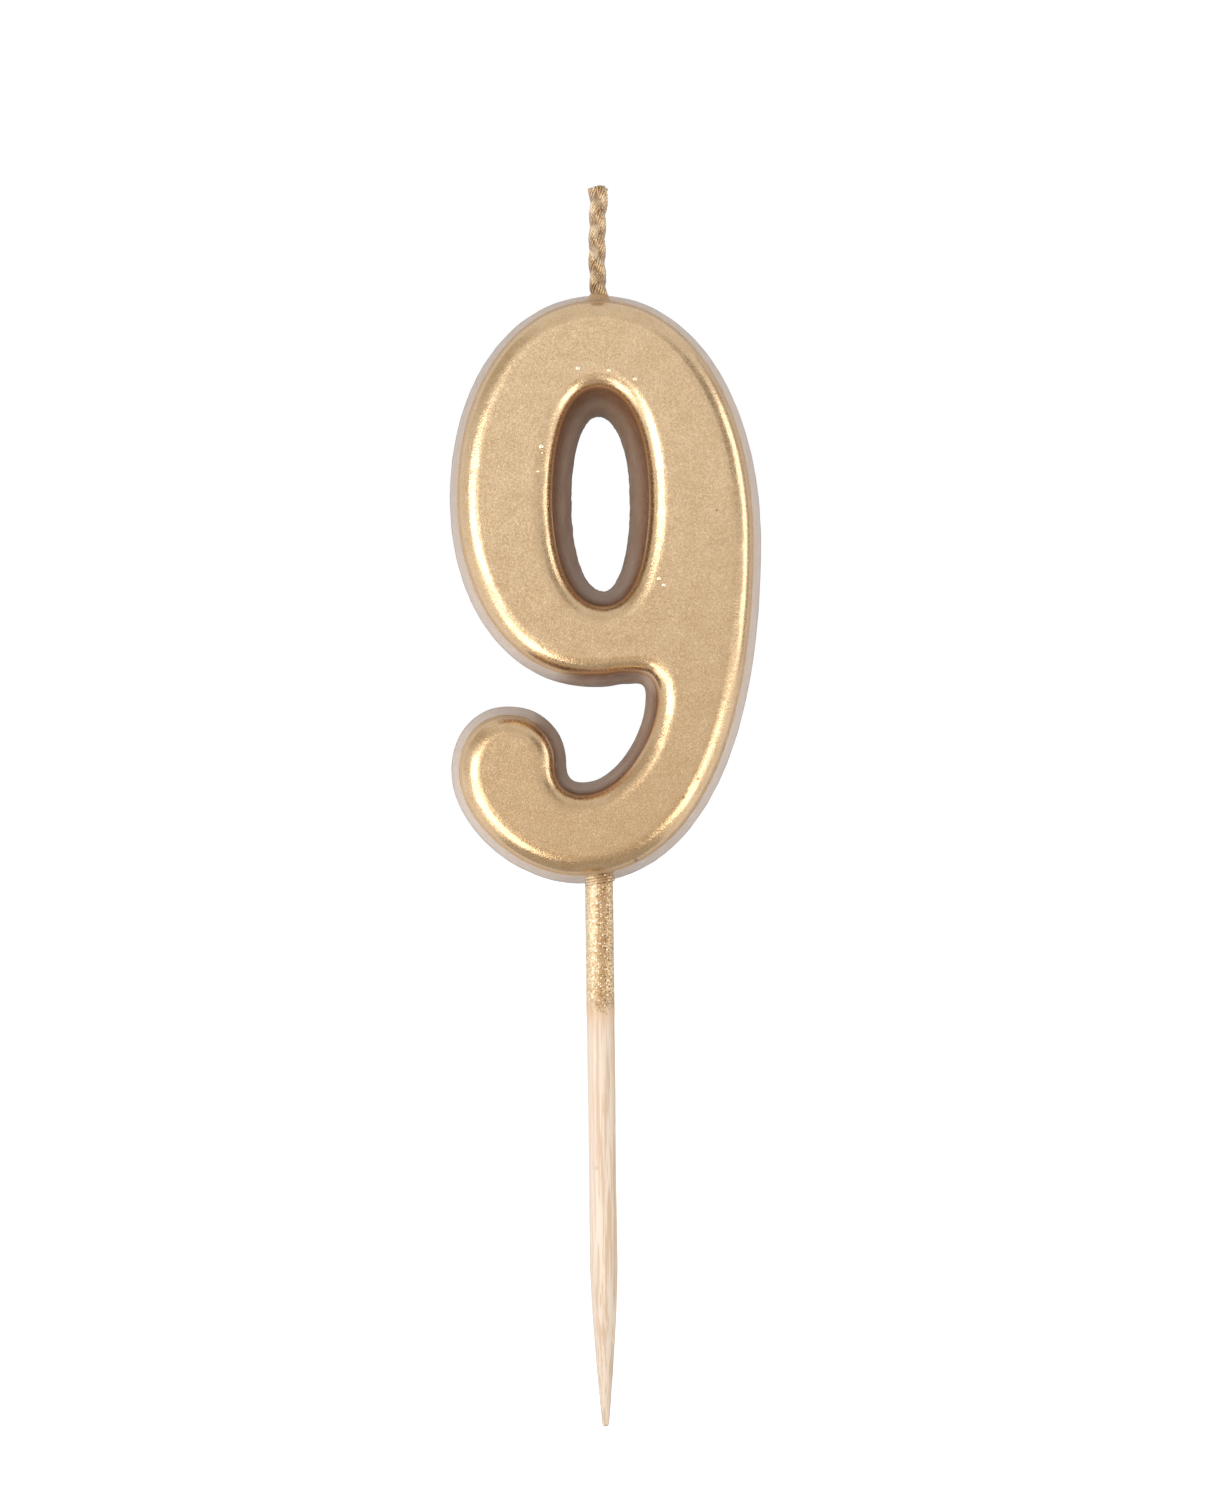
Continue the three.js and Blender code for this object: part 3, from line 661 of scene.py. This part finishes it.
def hairPath(rng):
    z = wick["crown"] + wick["hairStart"] + rng.random() * (wick["length"] - wick["hairStart"])
    centre = strandCentre(z, rng.choice((0, 1 / 3, 2 / 3)))
    around = rng.random() * 2 * math.pi
    rise, reach = rng.uniform(*wick["hairRise"]), rng.uniform(*wick["hairReach"])
    out = Vector((math.cos(around), math.sin(around), 0))
    start = centre + out * wick["strand"] * 0.8
    return [start + out * reach * share + Vector((0, 0, rise * share * share)) for share in (0, 0.35, 0.7, 1)]


def buriedCore():   # the lower part of the frame's own wick
    mesh = bmesh.new()
    mesh.from_mesh(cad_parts["wick"].data)
    bmesh.ops.remove_doubles(mesh, verts=mesh.verts, dist=0.001 * mm)
    cut = (wick["crown"] - wick["coreCut"]) * mm
    parts = list(mesh.verts) + list(mesh.edges) + list(mesh.faces)
    edges = bmesh.ops.bisect_plane(mesh, geom=parts, plane_co=(0, 0, cut), plane_no=(0, 0, 1), clear_outer=True)
    rim = [part for part in edges["geom_cut"] if isinstance(part, bmesh.types.BMEdge)]
    bmesh.ops.holes_fill(mesh, edges=rim)
    return mesh


cottonLook = dict(
    pale=colour(232, 208, 174), tan=colour(198, 168, 128), deepToneAndShade=colour(138, 106, 70), bare=colour(164, 144, 124),
    creviceEnds=(0.5, 0.84), bareEnds=(-0.5, 0.0), bump=0.8, bumpDepth=0.05, metal=(0.3, 0.75), roughness=(0.28, 0.5),
)


def cottonFinish():
    finish = Finish("goldDustedCotton")
    here = finish.place()
    x, y, z = finish.axes(here)
    fine = finish.grain(finish.place(scale=(1, 1, 0.3)), 9, 4, 0.7)
    patches = finish.grain(here, 1.1, 3, 0.5)
    tone = finish.blend(patches.ease(0.38, 0.62), cottonLook["pale"], cottonLook["tan"])
    tone = finish.blend(fine.ease(0.48, 0.62) * 0.7, tone, cottonLook["deepToneAndShade"])
    # painted shade in the crevices between the strands
    free = ((z - wick["crown"]) / wick["length"]).atLeast(0)
    middle = x + free * (1 - free) * 4 * wick["bow"]
    creviceShade = 1 - ((middle * middle + y * y) ** 0.5).ease(*cottonLook["creviceEnds"])
    tone = finish.blend(creviceShade * 0.45, tone, cottonLook["deepToneAndShade"])
    behind = (y + patches * 0.4 - 0.2).ease(*cottonLook["bareEnds"])   # the gold came from the front
    tone = finish.blend(behind * 0.8, tone, cottonLook["bare"])
    finish.shade(Base_Color=tone, Metallic=patches.ease(0.4, 0.6, *cottonLook["metal"]),
                 Roughness=fine.ease(0.3, 0.7, *cottonLook["roughness"]), Specular_IOR_Level=0.6,
                 Normal=finish.bump(fine, cottonLook["bump"], cottonLook["bumpDepth"]))
    return finish.material


def plaitWick():
    rng = random.Random(9)
    paths = [yarnPath(phase / 3, yarn, rng) for phase in range(3) for yarn in range(wick["yarns"])]
    mesh = yarnMesh("yarns", paths, wick["yarnRadius"], 2)
    cores = yarnMesh("cores", [yarnPath(phase / 3, wick["yarns"], rng) for phase in range(3)], wick["coreRadius"], 3)
    hairs = yarnMesh("hairs", [hairPath(rng) for _ in range(wick["hairs"])], wick["hairRadius"], 0)
    for part in (cores, hairs, buriedCore()):
        extra = bpy.data.meshes.new("extra")
        part.to_mesh(extra)
        part.free()
        mesh.from_mesh(extra)
        bpy.data.meshes.remove(extra)
    return mesh


cottonWick = finishMesh("plaitedWick", plaitWick(), cottonFinish())
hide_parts("wick")
print("wick plaited:", len(cottonWick.data.polygons), "faces")


# floor, world, lamps and the dark cards that shape the reflections
studio = dict(floor=-50.3, floorSize=6000, middle=(0, 0, 25), white=1.0, worldLight=0.68, floorTone=0.35, floorGlow=0.9,
              cardLift=0.8, cardStep=0.4)
lamps = [   # degrees round from the camera, degrees up, distance, width and height in mm, radiance
    ("leftSoftbox", -38, -3, 420, 375, 178, 2.8),
    ("leftBulb", -39, -3, 412, 262, 140, 2.6),
    ("rightStrip", 86.5, 4, 700, 250, 600, 2.7),
    ("lowLeftBounce", -47, -37, 92, 60, 48, 4.0),
    ("lowRightBounce", 56, -28, 110, 62, 54, 3.2),
    ("frontStrip", 0, 19, 700, 800, 110, 0.25),
    ("backFill", 180, 12, 500, 400, 300, 1.2),
]
cards = [   # the same, with how bright the card looks last
    ("rightCard", 44, 22, 500, 300, 240, 0.44),
    ("rightBackCard", 122, 10, 500, 300, 500, 0.6),
    ("leftBackCard", -78, 38, 500, 600, 260, 0.7),
]
underCards = [(110, -5, 0.58), (260, -150, 0.84)]   # on the floor: size, how far from the object, how bright
cardTint = (1.0, 0.93, 0.84)


def seenWhite(finish):   # 1 to the camera and in glossy and transmitted views, 0 as a light
    kinds = ("Is Camera Ray", "Is Glossy Ray", "Is Transmission Ray")
    rays = [finish.node("ShaderNodeLightPath", output=kind) for kind in kinds]
    return rays[0].atLeast(rays[1]).atLeast(rays[2])


def placeAround(made, around, above, distance):   # turns it to look at the middle of the object
    around, above = math.radians(around), math.radians(above)
    out = Vector((math.sin(around) * math.cos(above), -math.cos(around) * math.cos(above), math.sin(above)))
    made.location = (Vector(studio["middle"]) + out * distance) * mm
    made.rotation_euler = out.to_track_quat("Z", "Y").to_euler()
    bpy.context.scene.collection.objects.link(made)


def flatPanel(name, width, height, material):
    mesh = bmesh.new()
    bmesh.ops.create_grid(mesh, x_segments=2, y_segments=2, size=0.5)
    bmesh.ops.scale(mesh, verts=mesh.verts, vec=(width * mm, height * mm, 1))
    data = bpy.data.meshes.new(name)
    mesh.to_mesh(data)
    mesh.free()
    data.materials.append(material)
    return bpy.data.objects.new(name, data)


def layFloor():
    finish = Finish("paleFloor")
    tone = [studio["floorTone"]] * 3
    finish.shade(Base_Color=tone, Roughness=1.0, Specular_IOR_Level=0.0,
                 Emission_Color=(1, 1, 1), Emission_Strength=seenWhite(finish) * studio["floorGlow"])
    floor = flatPanel("floor", studio["floorSize"], studio["floorSize"], finish.material)
    floor.location.z = studio["floor"] * mm
    bpy.context.scene.collection.objects.link(floor)
    floor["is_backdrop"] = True


def darkCard(name, width, height, tone):   # out of the camera's sight, and casting no shadow
    finish = Finish(name)
    finish.shade(Base_Color=(0, 0, 0), Specular_IOR_Level=0.0, Emission_Color=cardTint, Emission_Strength=tone)
    card = flatPanel(name, width, height, finish.material)
    card.visible_camera = False
    card.visible_diffuse = card.visible_shadow = False
    card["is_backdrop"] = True
    return card


def lightWorld():
    world = bpy.data.worlds.new("studio")
    bpy.context.scene.world = world
    world.use_nodes = True
    finish = Finish("studio", world.node_tree)
    background = world.node_tree.nodes["Background"].inputs
    strength = seenWhite(finish) * (studio["white"] - studio["worldLight"]) + studio["worldLight"]
    finish.plug(background["Strength"], strength)
    finish.plug(background["Color"], (1, 1, 1))


def hangLamp(name, around, above, distance, width, height, radiance):
    lamp = bpy.data.lights.new(name, "AREA")
    lamp.shape, lamp.size, lamp.size_y = "RECTANGLE", width * mm, height * mm
    lamp.energy = radiance * math.pi * lamp.size * lamp.size_y
    made = bpy.data.objects.new(name, lamp)
    made.visible_camera = False
    made.visible_glossy = abs(around) < 120   # the one behind is there for the back alone
    placeAround(made, around, above, distance)


layFloor()
lightWorld()
for lamp in lamps:
    hangLamp(*lamp)
for name, around, above, distance, width, height, tone in cards:
    placeAround(darkCard(name, width, height, tone), around, above, distance)
for number, (size, forward, tone) in enumerate(underCards):
    under = darkCard(f"underCard{number}", size, size, tone)
    under.location = Vector((0, forward, studio["floor"] + studio["cardLift"] - number * studio["cardStep"])) * mm
    bpy.context.scene.collection.objects.link(under)
print("studio lit")

bpy.context.scene.view_settings.view_transform = "Standard"
{"cad": flatNumbers(cadBounds), "visual": flatNumbers(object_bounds())}
